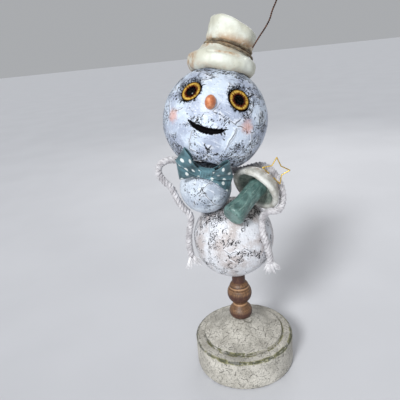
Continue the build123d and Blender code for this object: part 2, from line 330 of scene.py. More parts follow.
class Finish:
    """One node material, with a short call for each kind of node. Its places are in
    millimetres, in the figure's own axes."""

    def __init__(self, name, **fixed):
        self.material = bpy.data.materials.new(name)
        self.material.use_nodes = True
        self.tree = self.material.node_tree
        self.shader = self.tree.nodes["Principled BSDF"]
        metres = self.add("TexCoord").outputs["Object"]
        self.point = self.vector("SCALE", metres, scale=1 / MM)
        for setting, value in fixed.items():
            self.shader.inputs[setting.replace("_", " ")].default_value = value

    def put(self, socket, value):
        if isinstance(value, bpy.types.NodeSocket):
            self.tree.links.new(value, socket)
        else:
            socket.default_value = value

    def add(self, kind, inputs=None, **settings):
        node = self.tree.nodes.new("ShaderNode" + kind)
        for setting, value in settings.items():
            setattr(node, setting, value)
        for socket, value in (inputs or {}).items():
            self.put(node.inputs[socket], value)
        return node

    def vector(self, operation, first, second=(0, 0, 0), scale=1.0):
        inputs = {0: first, 3: scale} if operation == "SCALE" else {0: first, 1: second}
        node = self.add("VectorMath", inputs, operation=operation)
        is_number = operation in ("LENGTH", "DISTANCE")
        return node.outputs[1 if is_number else 0]

    def math(self, operation, first, second=0.0):
        node = self.add("Math", {0: first, 1: second}, operation=operation)
        return node.outputs[0]

    def chain(self, operation, values):
        """One value from several, each joined in turn to the result so far."""
        result = values[0]
        for value in values[1:]:
            result = self.math(operation, result, value)
        return result

    def least(self, *values):
        return self.chain("MINIMUM", values)

    def most(self, *values):
        return self.chain("MAXIMUM", values)

    def product(self, *values):
        return self.chain("MULTIPLY", values)

    def total(self, *values):
        return self.chain("ADD", values)

    def less(self, first, second):
        return self.math("SUBTRACT", first, second)

    def rise(self, value, low, high, start=0.0, end=1.0):
        """Smooth step from start to end while the value goes from low to high."""
        inputs = {
            "Value": value,
            "From Min": low,
            "From Max": high,
            "To Min": start,
            "To Max": end,
        }
        node = self.add("MapRange", inputs, interpolation_type="SMOOTHSTEP")
        return node.outputs[0]

    def band(self, value, middle, width, softness):
        """1 within half a width of the middle, 0 further away."""
        off = self.math("ABSOLUTE", self.less(value, middle))
        return self.rise(off, width / 2, width / 2 + softness, 1.0, 0.0)

    def mix(self, share, first, second):
        inputs = {0: share, 6: first, 7: second}
        return self.add("Mix", inputs, data_type="RGBA").outputs[2]

    def clouded(self, field, first, second):
        """Colour that drifts from first to second with a field of values round 0.5."""
        return self.mix(self.rise(field, 0.35, 0.65), first, second)

    def noise(self, size, detail=3.0, at=None, rough=0.5):
        """Cloudy values round 0.5, whose blobs are about this many millimetres wide."""
        inputs = {
            "Vector": at or self.point,
            "Scale": 1 / size,
            "Detail": detail,
            "Roughness": rough,
        }
        return self.add("TexNoise", inputs).outputs[0]

    def ragged(self, size, amount):
        """Noise round 0, which roughens an edge by up to about half this amount."""
        return self.product(self.less(self.noise(size), 0.5), amount)

    def cells(self, size, at=None):
        """Distance from the nearest crack between cells of this size, in cells."""
        inputs = {"Vector": at or self.point, "Scale": 1 / size}
        node = self.add("TexVoronoi", inputs, feature="DISTANCE_TO_EDGE")
        return node.outputs["Distance"]

    def stretched(self, along, at=None):
        """Places that make a pattern longer along each axis by these factors."""
        factors = tuple(1 / factor for factor in along)
        return self.vector("MULTIPLY", at or self.point, factors)

    def shifted(self, amount, size, at=None):
        """Places pushed about by a coarse noise, which makes lines wander."""
        inputs = {"Vector": at or self.point, "Scale": 1 / size, "Detail": 3.0}
        cloud = self.add("TexNoise", inputs).outputs[1]
        push = self.vector("SCALE", self.vector("SUBTRACT", cloud, (0.5,) * 3), scale=amount)
        return self.vector("ADD", at or self.point, push)

    def creases(self, size, width, broken):
        """Nearly straight broken lines, like the creases of pasted paper. The width is in
        millimetres, and more of the lines show as broken goes down from 0.6 to 0.4."""
        edge = self.cells(size, at=self.shifted(size * 0.5, size))
        line = self.rise(edge, 0.0, width / size, 1.0, 0.0)
        gaps = self.rise(self.noise(size * 0.4, 2.0), broken, broken + 0.06)
        return self.product(line, gaps)

    def strokes(self, width, length, turn, level):
        """Short strokes of this width and length, turned by degrees about the Y axis."""
        inputs = {"Vector": self.point, "Angle": math.radians(turn)}
        tilted = self.add("VectorRotate", inputs, rotation_type="Y_AXIS").outputs[0]
        stretch = (1.0, 1.0, length / width)
        field = self.noise(width, 2.0, at=self.stretched(stretch, at=tilted), rough=0.6)
        return self.rise(self.less(field, level), 0.0, 0.02)

    def inside(self, matrix):
        """Places in another frame's own axes."""
        inputs = {"Vector": self.point, "Location": matrix.translation}
        inputs["Rotation"] = matrix.to_euler()
        return self.add("Mapping", inputs, vector_type="TEXTURE").outputs[0]

    def axes(self, place):
        return self.add("SeparateXYZ", {0: place}).outputs

    def reach(self, place, kept):
        """Distance from the axis whose number in kept is 0."""
        return self.vector("LENGTH", self.vector("MULTIPLY", place, kept))

    def finish(self, colour, roughness, relief=None, depth=0.3):
        """Sets the colour, the roughness and a bump this many millimetres deep."""
        self.put(self.shader.inputs["Base Color"], colour)
        self.put(self.shader.inputs["Roughness"], roughness)
        if relief is not None:
            bump = self.add("Bump", {"Height": relief, "Distance": depth * MM})
            self.put(self.shader.inputs["Normal"], bump.outputs[0])
        return self.material


def chips(f, size, clusters, amount, more=0.0):
    """Small angular flecks where paint has come off, gathered in clusters."""
    worn = f.total(f.noise(clusters, 2.0), more)
    level = f.rise(worn, 0.49, 0.62, 0.80, 0.80 - amount)
    fleck = f.noise(size, 2.0, at=f.stretched((1.0, 1.0, 1.7)), rough=0.6)
    return f.rise(f.less(fleck, level), 0.0, 0.02)


def scratches(f, clusters, amount, more=0.0):
    """Fine dark strokes at several angles where brushed paint has skipped."""
    marks = []
    for turn in (20, 75, 140):
        worn = f.total(f.noise(clusters, 2.0, at=f.vector("ADD", f.point, (turn, 0, 0))), more)
        level = f.rise(worn, 0.50, 0.63, 0.82, 0.82 - amount)
        marks.append(f.strokes(0.75, 4.0, turn, level))
    return f.most(*marks)


def crackled_paint(f, light, shade, dark, amount, more=0.0):
    """Thin brushed paint over dark, with flecks, strokes and creases: its colour,
    relief and marks. Each crease is a dark line of painted shade in the fold, with a
    painted highlight on the ridge either side. More of them show where the value more is raised."""
    cloud = f.noise(16.0, 4.0)
    colour = f.mix(f.rise(cloud, 0.38, 0.62), shade, light)
    brushed = f.noise(1.3, at=f.stretched((1.0, 1.0, 6.0)), rough=0.6)
    colour = f.mix(f.rise(brushed, 0.55, 0.8, 0.0, 0.35), colour, shade)
    swept = f.strokes(1.1, 11.0, 55, 0.60)
    colour = f.mix(f.product(swept, 0.5), colour, paint(238, 242, 248))
    # Each crease's dark line is painted shade in the fold, inside a wider ridge.
    crease = f.creases(24.0, 0.40, 0.48)
    ridge = f.creases(24.0, 1.8, 0.48)
    hairs = f.creases(9.0, 0.25, 0.56)
    flecks = chips(f, 1.7, 12.0, amount, more)
    scratched = scratches(f, 12.0, amount * 1.25, more)
    marks = f.most(flecks, scratched, f.product(crease, 0.85), f.product(hairs, 0.45))
    # Painted highlight on the ridge either side of each crease's dark line.
    ridge_highlight = f.product(f.less(ridge, crease), 0.6)
    colour = f.mix(ridge_highlight, colour, paint(240, 244, 250))
    colour = f.mix(marks, colour, dark)
    relief = f.total(
        f.product(ridge, 1.4),
        f.product(brushed, 0.9),
        f.product(f.noise(2.6, 4.0), 0.5),
        f.product(marks, -0.8),
    )
    return colour, relief, marks


def ball_paint(name, light, shade, amount, clean, seam):
    """Crackled paint, cleaner by the value clean, and more worn above the seam's height."""
    f = Finish(name)
    height = f.axes(f.point)["Z"]
    more = f.rise(height, seam - 7.0, seam, -clean, 0.13 - clean)
    colour, relief, marks = crackled_paint(f, light, shade, paint(24, 22, 28), amount, more)
    return f.finish(colour, f.rise(marks, 0.0, 1.0, 0.42, 0.7), relief, 0.45)


def on_head(azimuth, elevation, radius=head_radius):
    """Frame on the head's surface whose Z axis points outwards."""
    lift = math.radians(elevation)
    turn = math.radians(azimuth)
    outward = Vector(
        (math.sin(turn) * math.cos(lift), -math.cos(turn) * math.cos(lift), math.sin(lift))
    )
    across = Vector((math.cos(turn), math.sin(turn), 0))
    up = outward.cross(across)
    axes = Matrix((across, up, outward)).transposed().to_4x4()
    return head @ placed(outward * radius) @ axes


def eye_marks(f, azimuth):
    """Black rim round an eye that runs out in jagged strokes like lashes."""
    flat = f.vector("MULTIPLY", f.inside(on_head(azimuth, eye_elevation)), (1, 1, 0))
    reach = f.vector("LENGTH", flat)
    around = f.vector("SCALE", f.vector("NORMALIZE", flat), scale=4.0)
    spikes = f.noise(0.30, at=around, rough=0.75)
    edge = f.rise(spikes, 0.44, 0.72, 9.6, 14.5)
    broken = f.ragged(1.1, 3.4)
    return f.rise(f.less(f.total(edge, broken), reach), -0.1, 0.2)


def circle_through(first, second, third):
    """Middle and radius of the circle through three points."""
    (ax, ay), (bx, by), (cx, cy) = first, second, third
    twice_area = 2 * (ax * (by - cy) + bx * (cy - ay) + cx * (ay - by))
    a, b, c = ax**2 + ay**2, bx**2 + by**2, cx**2 + cy**2
    middle_x = (a * (by - cy) + b * (cy - ay) + c * (ay - by)) / twice_area
    middle_y = (a * (cx - bx) + b * (ax - cx) + c * (bx - ax)) / twice_area
    return middle_x, middle_y, math.hypot(ax - middle_x, ay - middle_y)


def beyond_arc(f, local, edge):
    """How far places lie outside the circle of one of the mouth's edges."""
    x, z, radius = circle_through(*edge)
    flat = f.vector("MULTIPLY", local, (1, 0, 1))
    return f.less(f.vector("DISTANCE", flat, (x, 0, z)), radius)


def mouth_mark(f, local):
    """Black paint over the carved mouth, with ragged edges."""
    ragged = f.ragged(1.2, 2.6)
    above = f.rise(f.total(beyond_arc(f, local, mouth_upper_edge), ragged), -0.2, 0.2)
    below = f.rise(f.total(beyond_arc(f, local, mouth_lower_edge), ragged), 0.2, -0.2)
    return f.product(above, below)


def near_eye(f, azimuth):
    """1 next to an eye, 0 some way from it."""
    centre = tuple(on_head(azimuth, eye_elevation).translation)
    return f.rise(f.vector("DISTANCE", f.point, centre), 12.0, 17.0, 1.0, 0.0)


def face_paint():
    """The ball's paint, with the eyes' and mouth's black and the cheeks' blush on it."""
    f = Finish("face_paint")
    local = f.inside(head)
    x, y, z = f.axes(local)
    edge = f.rise(f.reach(local, (1, 0, 1)), 26.0, 43.0)
    low = f.rise(z, -16.0, -34.0)
    by_mouth = f.product(
        f.rise(f.math("ABSOLUTE", f.total(x, 2.0)), 10.0, 22.0, 1.0, 0.0),
        f.rise(f.math("ABSOLUTE", f.total(z, 9.0)), 3.0, 9.0, 1.0, 0.0),
    )
    by_eyes = f.most(near_eye(f, -eye_azimuth), near_eye(f, eye_azimuth))
    more = f.total(
        f.product(edge, 0.11),
        f.product(low, 0.08),
        f.product(by_mouth, 0.12),
        f.product(by_eyes, 0.10),
        f.product(f.rise(z, 30.0, 38.0), 0.10),
        -0.07,
    )
    colour, relief, marks = crackled_paint(
        f, paint(205, 217, 232), paint(164, 174, 194), paint(18, 16, 22), 0.22, more
    )
    for azimuth, elevation in ((-43, -7), (42, -5)):
        away = f.vector("DISTANCE", f.point, tuple(on_head(azimuth, elevation).translation))
        patchy = f.ragged(3.0, 6.0)
        blush = f.rise(f.total(away, patchy), 1.5, 8.0, 0.62, 0.0)
        colour = f.mix(blush, colour, paint(226, 164, 140))
    eyes = f.most(eye_marks(f, -eye_azimuth), eye_marks(f, eye_azimuth))
    front = f.rise(y, -20.0, -24.0)
    black = f.product(front, f.most(eyes, mouth_mark(f, local)))
    f.put(f.shader.inputs["Specular IOR Level"], f.rise(black, 0.0, 1.0, 0.5, 0.08))
    colour = f.mix(black, colour, paint(5, 4, 6))
    return f.finish(colour, f.rise(f.most(marks, black), 0.0, 1.0, 0.40, 0.75), relief, 0.45)


def base_paint():
    """Cream paint with fine crackle, worn through to green on the two round edges."""
    f = Finish("base_paint")
    x, y, z = f.axes(f.point)
    reach = f.reach(f.point, (1, 1, 0))
    cloud = f.noise(18.0, 4.0)
    colour = f.clouded(cloud, paint(172, 168, 158), paint(202, 198, 188))
    grime = f.noise(3.0, 5.0, rough=0.75)
    colour = f.mix(f.rise(grime, 0.52, 0.80, 0.0, 0.5), colour, paint(132, 127, 116))
    cracks = f.most(
        f.creases(11.0, 0.35, 0.50),
        f.product(f.creases(4.5, 0.25, 0.50), 0.8),
        f.product(f.creases(2.0, 0.16, 0.52), 0.55),
    )
    colour = f.mix(f.product(cracks, 0.75), colour, paint(76, 72, 62))
    patchy = f.noise(7.0, 4.0, rough=0.65)
    wander = f.ragged(9.0, 2.0)
    rim = f.total(reach, f.product(f.less(z, base_height), 1.0), wander)
    step = f.total(reach, f.product(wander, 0.6))
    on_top = f.rise(z, base_height - 4.0, base_height - 2.5)
    front_right = f.rise(f.less(x, y), -30.0, 30.0, -0.05, 0.05)
    worn = f.total(patchy, front_right)
    green = f.most(
        f.product(f.band(rim, base_radius - 2.0, 0.7, 0.9), on_top),
        f.product(f.band(step, dome_radius + 0.6, 0.9, 0.9), on_top),
    )
    green = f.product(green, f.rise(worn, 0.47, 0.55))
    dark = f.most(
        f.product(f.band(rim, base_radius - 1.7, 0.3, 0.6), on_top),
        f.product(f.band(step, dome_radius + 0.2, 0.15, 0.45), on_top),
    )
    dark = f.product(dark, f.rise(f.noise(5.0), 0.36, 0.46))
    colour = f.mix(f.product(green, 0.75), colour, paint(118, 116, 56))
    colour = f.mix(f.product(dark, 0.7), colour, paint(50, 56, 48))
    foot = f.product(f.rise(z, 3.4, 0.8), f.rise(f.noise(2.6, 4.0), 0.54, 0.60))
    nicks = f.most(foot, chips(f, 1.2, 13.0, 0.17), scratches(f, 12.0, 0.17))
    colour = f.mix(f.product(nicks, 0.9), colour, paint(58, 60, 52))
    by_post = f.product(f.rise(reach, 18.0, 9.0), f.rise(grime, 0.42, 0.6))
    colour = f.mix(f.product(by_post, 0.6), colour, paint(104, 100, 88))
    relief = f.total(
        f.product(f.noise(1.6, 5.0, rough=0.7), 1.0),
        f.product(cracks, -0.8),
        f.product(patchy, 0.6),
    )
    return f.finish(colour, f.rise(grime, 0.4, 0.7, 0.62, 0.82), relief, 0.7)


def spindle_wood():
    """Turned wood, darker in patches on the bead and the bulb, with painted shade on the neck
    under the lower ball, and grain that runs up the post.
    """
    f = Finish("spindle_wood")
    height = f.axes(f.point)["Z"]
    grain = f.noise(0.9, 4.0, at=f.stretched((1.0, 1.0, 12.0)), rough=0.6)
    rings = f.noise(1.2, 2.0, at=f.vector("MULTIPLY", f.point, (0.05, 0.05, 1)))
    colour = f.mix(f.rise(grain, 0.3, 0.7), paint(76, 54, 36), paint(140, 104, 72))
    colour = f.mix(f.rise(rings, 0.45, 0.6, 0.0, 0.35), colour, paint(66, 44, 32))
    bead = f.product(f.rise(height, 51.0, 52.5), f.rise(height, 60.5, 57.5))
    bulb = f.product(f.rise(height, 70.0, 72.0), f.rise(height, 81.5, 77.5))
    neck = f.rise(height, 89.5, 92.5)
    # Darker patches on the bead and the bulb, and painted shade on the neck just under the lower
    # ball.
    dirt = f.product(f.most(bead, bulb, neck), f.rise(f.noise(3.0, 4.0), 0.25, 0.55, 0.5, 0.9))
    colour = f.mix(dirt, colour, paint(62, 32, 26))
    light_ring = f.most(f.band(height, 66.5, 1.6, 0.5), f.band(height, 86.0, 0.9, 0.4))
    groove = f.band(height, 87.6, 0.5, 0.4)
    colour = f.mix(f.product(light_ring, 0.55), colour, paint(186, 146, 108))
    colour = f.mix(f.product(groove, 0.7), colour, paint(46, 28, 22))
    relief = f.total(grain, f.product(rings, 0.8))
    return f.finish(colour, f.rise(grain, 0.3, 0.7, 0.40, 0.58), relief, 0.15)


def hat_clay():
    """Ivory clay, rubbed with brown stain in its hollows and round its waist."""
    f = Finish("hat_clay")
    x, y, z = f.axes(f.inside(head))
    cloud = f.noise(14.0, 4.0)
    colour = f.clouded(cloud, paint(196, 196, 180), paint(220, 223, 212))
    blotch = f.noise(7.0, 5.0, rough=0.65)
    waist = f.band(f.total(z, f.product(f.less(blotch, 0.5), 9.0)), 62.0, 5.0, 7.0)
    rim_end = f.product(f.rise(x, -20.0, -27.0), f.rise(z, 56.0, 48.0))
    under = f.rise(z, 44.0, 40.0)
    wrinkle = f.product(
        f.band(f.total(z, f.ragged(9.0, 6.0)), 52.0, 0.5, 2.2),
        f.rise(y, -8.0, -14.0),
        f.rise(f.math("ABSOLUTE", f.less(x, 2.0)), 13.0, 6.0),
    )
    stain = f.most(
        f.product(waist, 0.85),
        f.product(rim_end, 0.8),
        f.product(under, 0.4),
        f.product(wrinkle, 0.8),
    )
    stain = f.product(stain, f.rise(blotch, 0.34, 0.60))
    colour = f.mix(stain, colour, paint(158, 118, 74))
    speck = f.rise(f.noise(1.3, 2.0), 0.70, 0.72)
    colour = f.mix(f.product(speck, 0.5), colour, paint(150, 120, 84))
    dots = f.rise(f.cells(15.0, at=f.shifted(4.0, 9.0)), 0.46, 0.47)
    colour = f.mix(f.product(dots, 0.5), colour, paint(236, 224, 232))
    relief = f.total(f.product(blotch, 0.8), f.product(f.noise(1.4, 4.0), 0.35))
    return f.finish(colour, f.rise(blotch, 0.35, 0.65, 0.38, 0.58), relief, 0.4)


def ribbon_cloth(name, shade, light, dotted):
    """Teal ribbon with fine ribs across it, and on the loops rows of white dots, a painted
    highlight along the upper panel's edge and a painted shadow on the lower panel under the
    fold. Its map gives millimetres along and across the ribbon."""
    f = Finish(name, Sheen_Weight=0.15, Sheen_Roughness=0.5)
    place = f.add("UVMap", uv_map="ribbon").outputs[0]
    u, v, _ = f.axes(place)
    rib_spacing = 0.85
    weave_spacing = 0.4
    ribs = f.math("SINE", f.product(u, 2 * math.pi / rib_spacing))
    weave = f.math("SINE", f.product(v, 2 * math.pi / weave_spacing))
    fade = f.noise(7.0, 4.0)
    colour = f.clouded(fade, shade, light)
    colour = f.mix(f.rise(ribs, -1.0, 0.2, 0.35, 0.0), colour, paint(38, 60, 66))
    if dotted:
        # Painted highlight on the upper panel along its edge above the fold.
        edge = f.band(v, fold_place - 1.8, 1.0, 1.2)
        colour = f.mix(f.product(edge, 0.45), colour, paint(128, 168, 176))
        # Painted shadow on the lower panel where it tucks under the upper one.
        lower_panel = f.rise(v, fold_place - 0.4, fold_place + 0.2)
        painted_fold_shadow = f.product(lower_panel, f.rise(v, fold_place + 2.6, fold_place + 6.0, 1.0, 0.0))
        colour = f.mix(f.product(painted_fold_shadow, 0.85), colour, paint(18, 30, 36))
    dot_spacing = 10.8
    apart = []
    for shift in (0.0, 0.5):
        cell = f.vector("SCALE", place, scale=1 / dot_spacing)
        cell = f.vector("FRACTION", f.vector("ADD", cell, (20.3 + shift, 20.2 + shift, 0)))
        cell = f.vector("MULTIPLY", f.vector("SUBTRACT", cell, (0.5, 0.5, 0)), (1, 1, 0))
        apart.append(f.product(f.vector("LENGTH", cell), dot_spacing))
    wobble = f.ragged(1.0, 0.5)
    dots = f.rise(f.total(f.least(*apart), wobble), 1.4, 1.7, 0.95 if dotted else 0.0, 0.0)
    colour = f.mix(dots, colour, paint(228, 234, 232))
    relief = f.total(f.product(ribs, 0.5), f.product(weave, 0.15), f.product(dots, 0.5))
    return f.finish(colour, f.rise(fade, 0.3, 0.7, 0.34, 0.5), relief, 0.14)


def rope_cotton(name, shade, light, gaps):
    f = Finish(name, Sheen_Weight=0.3, Sheen_Roughness=0.5)
    cloud = f.noise(6.0, 4.0)
    colour = f.clouded(cloud, shade, light)
    fibres = f.noise(0.5, 4.0, at=f.stretched((1.0, 1.0, 3.0)), rough=0.7)
    # Darker fibres, as much as gaps says: painted shade between the fibres and strands.
    colour = f.mix(f.rise(fibres, 0.5, 0.8, 0.0, gaps), colour, paint(104, 100, 104))
    return f.finish(colour, f.rise(fibres, 0.3, 0.7, 0.78, 0.92), fibres, 0.25)


def jute():
    f = Finish("jute", Sheen_Weight=0.2)
    fibres = f.noise(0.4, 4.0, at=f.stretched((1.6, 1.6, 1.0)), rough=0.7)
    cloud = f.noise(4.0)
    colour = f.clouded(cloud, paint(96, 82, 64), paint(142, 126, 100))
    colour = f.mix(f.rise(fibres, 0.5, 0.75, 0.0, 0.5), colour, paint(62, 50, 40))
    return f.finish(colour, f.rise(fibres, 0.3, 0.7, 0.75, 0.9), fibres, 0.2)


def rusty_wire():
    f = Finish("rusty_wire")
    rust = f.noise(2.4, 5.0, rough=0.7)
    colour = f.mix(f.rise(rust, 0.4, 0.6), paint(44, 32, 30), paint(104, 68, 50))
    f.put(f.shader.inputs["Metallic"], f.rise(rust, 0.4, 0.6, 0.7, 0.1))
    return f.finish(colour, f.rise(rust, 0.35, 0.65, 0.45, 0.8), f.noise(0.5), 0.12)


def gold_wire():
    f = Finish("gold_wire", Metallic=1.0)
    dull = f.noise(1.8, 4.0)
    colour = f.mix(f.rise(dull, 0.35, 0.7), paint(238, 206, 110), paint(186, 146, 62))
    return f.finish(colour, f.rise(dull, 0.3, 0.7, 0.22, 0.42), f.noise(0.5, 2.0), 0.05)


def plain_steel():
    f = Finish("plain_steel", Metallic=1.0)
    wear = f.noise(1.5, 4.0)
    colour = f.clouded(wear, paint(150, 148, 144), paint(186, 184, 178))
    return f.finish(colour, f.rise(wear, 0.3, 0.7, 0.32, 0.5), wear, 0.05)


def dowel_wood():
    f = Finish("dowel_wood")
    grain = f.noise(0.8, 4.0, at=f.stretched((1.0, 1.0, 8.0)))
    colour = f.mix(f.rise(grain, 0.3, 0.7), paint(190, 154, 112), paint(220, 190, 148))
    return f.finish(colour, f.rise(grain, 0.3, 0.7, 0.6, 0.75), grain, 0.1)


def mushroom_green(axis_frame):
    """Green glaze on the stem, worn to pale streaks that run along it."""
    f = Finish("stem_glaze", Coat_Weight=0.35, Coat_Roughness=0.25)
    local = f.inside(axis_frame)
    streaks = f.noise(1.5, 4.0, at=f.stretched((1.0, 1.0, 7.0), at=local), rough=0.6)
    cloud = f.noise(7.0, 4.0)
    colour = f.clouded(cloud, paint(62, 90, 86), paint(98, 130, 124))
    colour = f.mix(f.rise(streaks, 0.50, 0.74, 0.0, 0.6), colour, paint(150, 172, 164))
    dirt = f.rise(f.noise(2.0, 4.0), 0.56, 0.70, 0.0, 0.6)
    colour = f.mix(dirt, colour, paint(40, 58, 52))
    relief = f.total(streaks, f.product(f.noise(1.2), 0.5))
    return f.finish(colour, f.rise(streaks, 0.3, 0.7, 0.32, 0.55), relief, 0.25)


def cap_clay(axis_frame):
    """Ivory cap with a grey-green hollow, stained brown on top."""
    f = Finish("cap_clay", Coat_Weight=0.15, Coat_Roughness=0.35)
    local = f.inside(axis_frame)
    height = f.axes(local)["Z"]
    reach = f.reach(local, (1, 1, 0))
    cloud = f.noise(7.0, 4.0)
    blotch = f.noise(3.6, 5.0, rough=0.7)
    colour = f.clouded(cloud, paint(170, 168, 158), paint(208, 208, 202))
    outer = f.product(f.rise(height, 38.0, 43.0), f.rise(blotch, 0.46, 0.62))
    colour = f.mix(f.product(outer, 0.7), colour, paint(140, 104, 76))
    hollow = f.product(f.rise(reach, 19.4, 17.0), f.rise(height, 43.0, 41.5))
    inner = f.clouded(blotch, paint(84, 98, 92), paint(136, 146, 136))
    colour = f.mix(hollow, colour, inner)
    smudge = f.product(f.rise(blotch, 0.58, 0.66), f.rise(height, 31.0, 36.0, 1.0, 0.35))
    colour = f.mix(f.product(smudge, 0.65), colour, paint(96, 84, 66))
    colour = f.mix(f.product(chips(f, 0.9, 6.0, 0.16), 0.8), colour, paint(52, 46, 40))
    relief = f.total(f.product(blotch, 0.8), f.product(f.noise(1.1, 4.0), 0.4))
    return f.finish(colour, f.rise(blotch, 0.35, 0.65, 0.34, 0.56), relief, 0.35)


def nose_paint():
    f = Finish("nose_paint")
    cloud = f.noise(3.0, 4.0)
    colour = f.clouded(cloud, paint(186, 108, 68), paint(216, 148, 104))
    scuff = f.rise(f.noise(1.0, 4.0, rough=0.7), 0.60, 0.70, 0.0, 0.5)
    colour = f.mix(scuff, colour, paint(168, 82, 50))
    return f.finish(colour, f.rise(cloud, 0.3, 0.7, 0.36, 0.5), f.noise(1.2, 4.0), 0.2)


def iris_paint(side, azimuth):
    """Black pupil, a dark ring with a spiky edge, and amber flecked with brown."""
    f = Finish(f"iris_{side}", Specular_IOR_Level=0.0)
    flat = f.vector("MULTIPLY", f.inside(on_head(azimuth, eye_elevation)), (1, 1, 0))
    reach = f.vector("LENGTH", flat)
    around = f.vector("SCALE", f.vector("NORMALIZE", flat), scale=4.0)
    spikes = f.noise(0.42, at=around, rough=0.7)
    threads = f.noise(0.16, at=around, rough=0.7)
    colour = f.clouded(threads, paint(190, 130, 34), paint(250, 218, 110))
    rim = f.rise(f.total(reach, f.product(spikes, 3.6)), 9.0, 10.0)
    colour = f.mix(f.product(rim, 0.8), colour, paint(84, 44, 14))
    colour = f.mix(f.rise(reach, 8.1, 8.7), colour, paint(12, 8, 8))
    ring_edge = f.rise(spikes, 0.3, 0.7, 5.0, 7.4)
    ring = f.rise(f.less(ring_edge, reach), -0.5, 0.4)
    colour = f.mix(ring, colour, paint(84, 28, 12))
    pupil = f.rise(f.total(reach, f.product(f.less(threads, 0.5), 2.0)), 5.0, 4.2)
    colour = f.mix(pupil, colour, paint(3, 2, 3))
    return f.finish(colour, f.rise(threads, 0.3, 0.7, 0.25, 0.4), threads, 0.05)


def eye_glass():
    """Clear domed glass, seen through almost unchanged, with its reflections."""
    f = Finish("eye_glass", Alpha=0.05, IOR=2.3)
    smear = f.noise(2.0)
    tint = f.mix(f.rise(smear, 0.3, 0.7), paint(14, 12, 12), paint(26, 24, 22))
    return f.finish(tint, f.rise(smear, 0.3, 0.7, 0.04, 0.08), smear, 0.003)


def floor_paint():
    f = Finish("floor_paint")
    cloud = f.noise(160.0)
    colour = f.mix(f.rise(cloud, 0.3, 0.7), paint(198, 199, 203), paint(202, 203, 207))
    return f.finish(colour, f.rise(cloud, 0.3, 0.7, 0.6, 0.65))


# ---- Soft pieces ----


def twisted_rope(name, route, cad_nodes, finish):
    """One four-strand rope from the neck to the hand, bending at the hip."""
    line = spline_points(name, route)
    strands = [
        tube(
            wound(line, strand_offset, strand_turn, start=strand / strand_count),
            strand_radius,
            sides=20,
            lobes=4,
            lobe_height=0.24,
            lobe_pitch=yarn_turn,
        )
        for strand in range(strand_count)
    ]
    piece = mesh_piece(name, strands, finish)
    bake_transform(piece)
    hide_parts(*cad_nodes)


def frayed_end(name, route, body, cad_node, finish, seed):
    """Loose fibres in three tufts, which part and curl below the rope's end."""
    chance = random.Random(seed)
    end = Vector(route[-1])
    along = (end - Vector(route[-2])).normalized()
    side = along.orthogonal().normalized()
    other = along.cross(side)
    fibre_count = 130
    tuft_count = 3
    fibres = []
    for fibre in range(fibre_count):
        tuft = 2 * math.pi * (fibre % tuft_count) / tuft_count
        out = side * math.cos(tuft) + other * math.sin(tuft)
        angle = chance.uniform(0, 2 * math.pi)
        spread = side * math.cos(angle) + other * math.sin(angle)
        reach = chance.uniform(0, 1.35)
        start = end - along * 2.0 + out * 1.6 + spread * reach
        flare = out * chance.uniform(0.15, 0.55) + spread * chance.uniform(0.0, 0.45)
        curl = Vector([chance.uniform(-1, 1) for _ in range(3)]) * 0.6
        length = chance.uniform(7.0, 11.5)
        points = []
        for step in range(7):
            share = step / 6
            points.append(
                start
                + along * length * share
                + flare * length * share**1.5
                + curl * math.sin(3.0 * share)
            )
        fibres.append(tube(points, chance.uniform(0.3, 0.5), sides=5, taper=0.6))
    piece = mesh_piece(name, fibres, finish)
    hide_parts(cad_node)
    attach(piece, body)
    return piece


def through(points, share):
    """Place at this share of the way along a smooth line through a few points."""
    spot = share * (len(points) - 1)
    index = min(int(spot), len(points) - 2)
    t = spot - index
    a = Vector(points[max(index - 1, 0)])
    b = Vector(points[index])
    c = Vector(points[index + 1])
    d = Vector(points[min(index + 2, len(points) - 1)])
    return 0.5 * (
        2 * b + (c - a) * t + (2 * a - 5 * b + 4 * c - d) * t**2 + (3 * b - 3 * c + d - a) * t**3
    )


bow = placed((-23.7, -25.5, 216.0)) @ turned("X", 18) @ turned("Y", 15)
# How far behind the bow's own plane the ribbon's back lies, and a loop's reach.
bow_back = 1.6
loop_reach = 22.0
ribbon_width = 30.0
ribbon_thickness = 0.45
upper_steps = 10
lower_steps = 8
fold_place = ribbon_width * upper_steps / (upper_steps + lower_steps)
# Edges of each loop from the knot outwards, as (sideways, depth, height) in the bow's axes.
left_loop = {
    "top": [(-4.0, -3.5, 1.8), (-10.8, -3.8, 6.4), (-16.2, -5.0, 15.2), (-21.8, -5.8, 19.8)],
    "fold": [(-4.0, -5.0, -5.0), (-11.5, -6.6, -2.2), (-19.5, -6.8, 2.6), (-27.2, -5.0, 5.8)],
    "bottom": [(-4.0, -3.2, -6.8), (-10.0, -3.0, -7.4), (-15.5, -3.0, -9.4), (-21.0, -3.0, -12.2)],
}
right_loop = {
    "top": [(4.5, -3.5, 2.4), (8.6, -3.8, 6.8), (12.0, -4.6, 12.2), (16.0, -5.2, 14.8)],
    "fold": [(4.0, -5.0, -5.0), (11.0, -6.6, -4.6), (18.0, -6.6, -4.2), (25.0, -5.0, -3.6)],
    "bottom": [(4.0, -3.2, -6.8), (11.0, -3.0, -9.6), (17.5, -3.0, -13.6), (24.0, -3.0, -18.0)],
}


def lifted(sideways, height, gap, lift):
    """A place in front of the bow's own plane, or of the ball where that's nearer."""
    flat = in_front_of_balls(bow @ Vector((sideways, bow_back, height)), gap)
    return flat + bow.to_3x3() @ Vector((0, -lift, 0))


def in_front_of_balls(point, gap):
    """The point, brought forward where it would lie in the head or the torso."""
    moved = point.copy()
    for centre, radius in ((head_centre, head_radius), (torso_centre, torso_radius)):
        off = moved - Vector(centre)
        inside = (radius + gap) ** 2 - off.x**2 - off.z**2
        if inside > 0:
            moved.y = min(moved.y, centre[1] - math.sqrt(inside))
    return moved


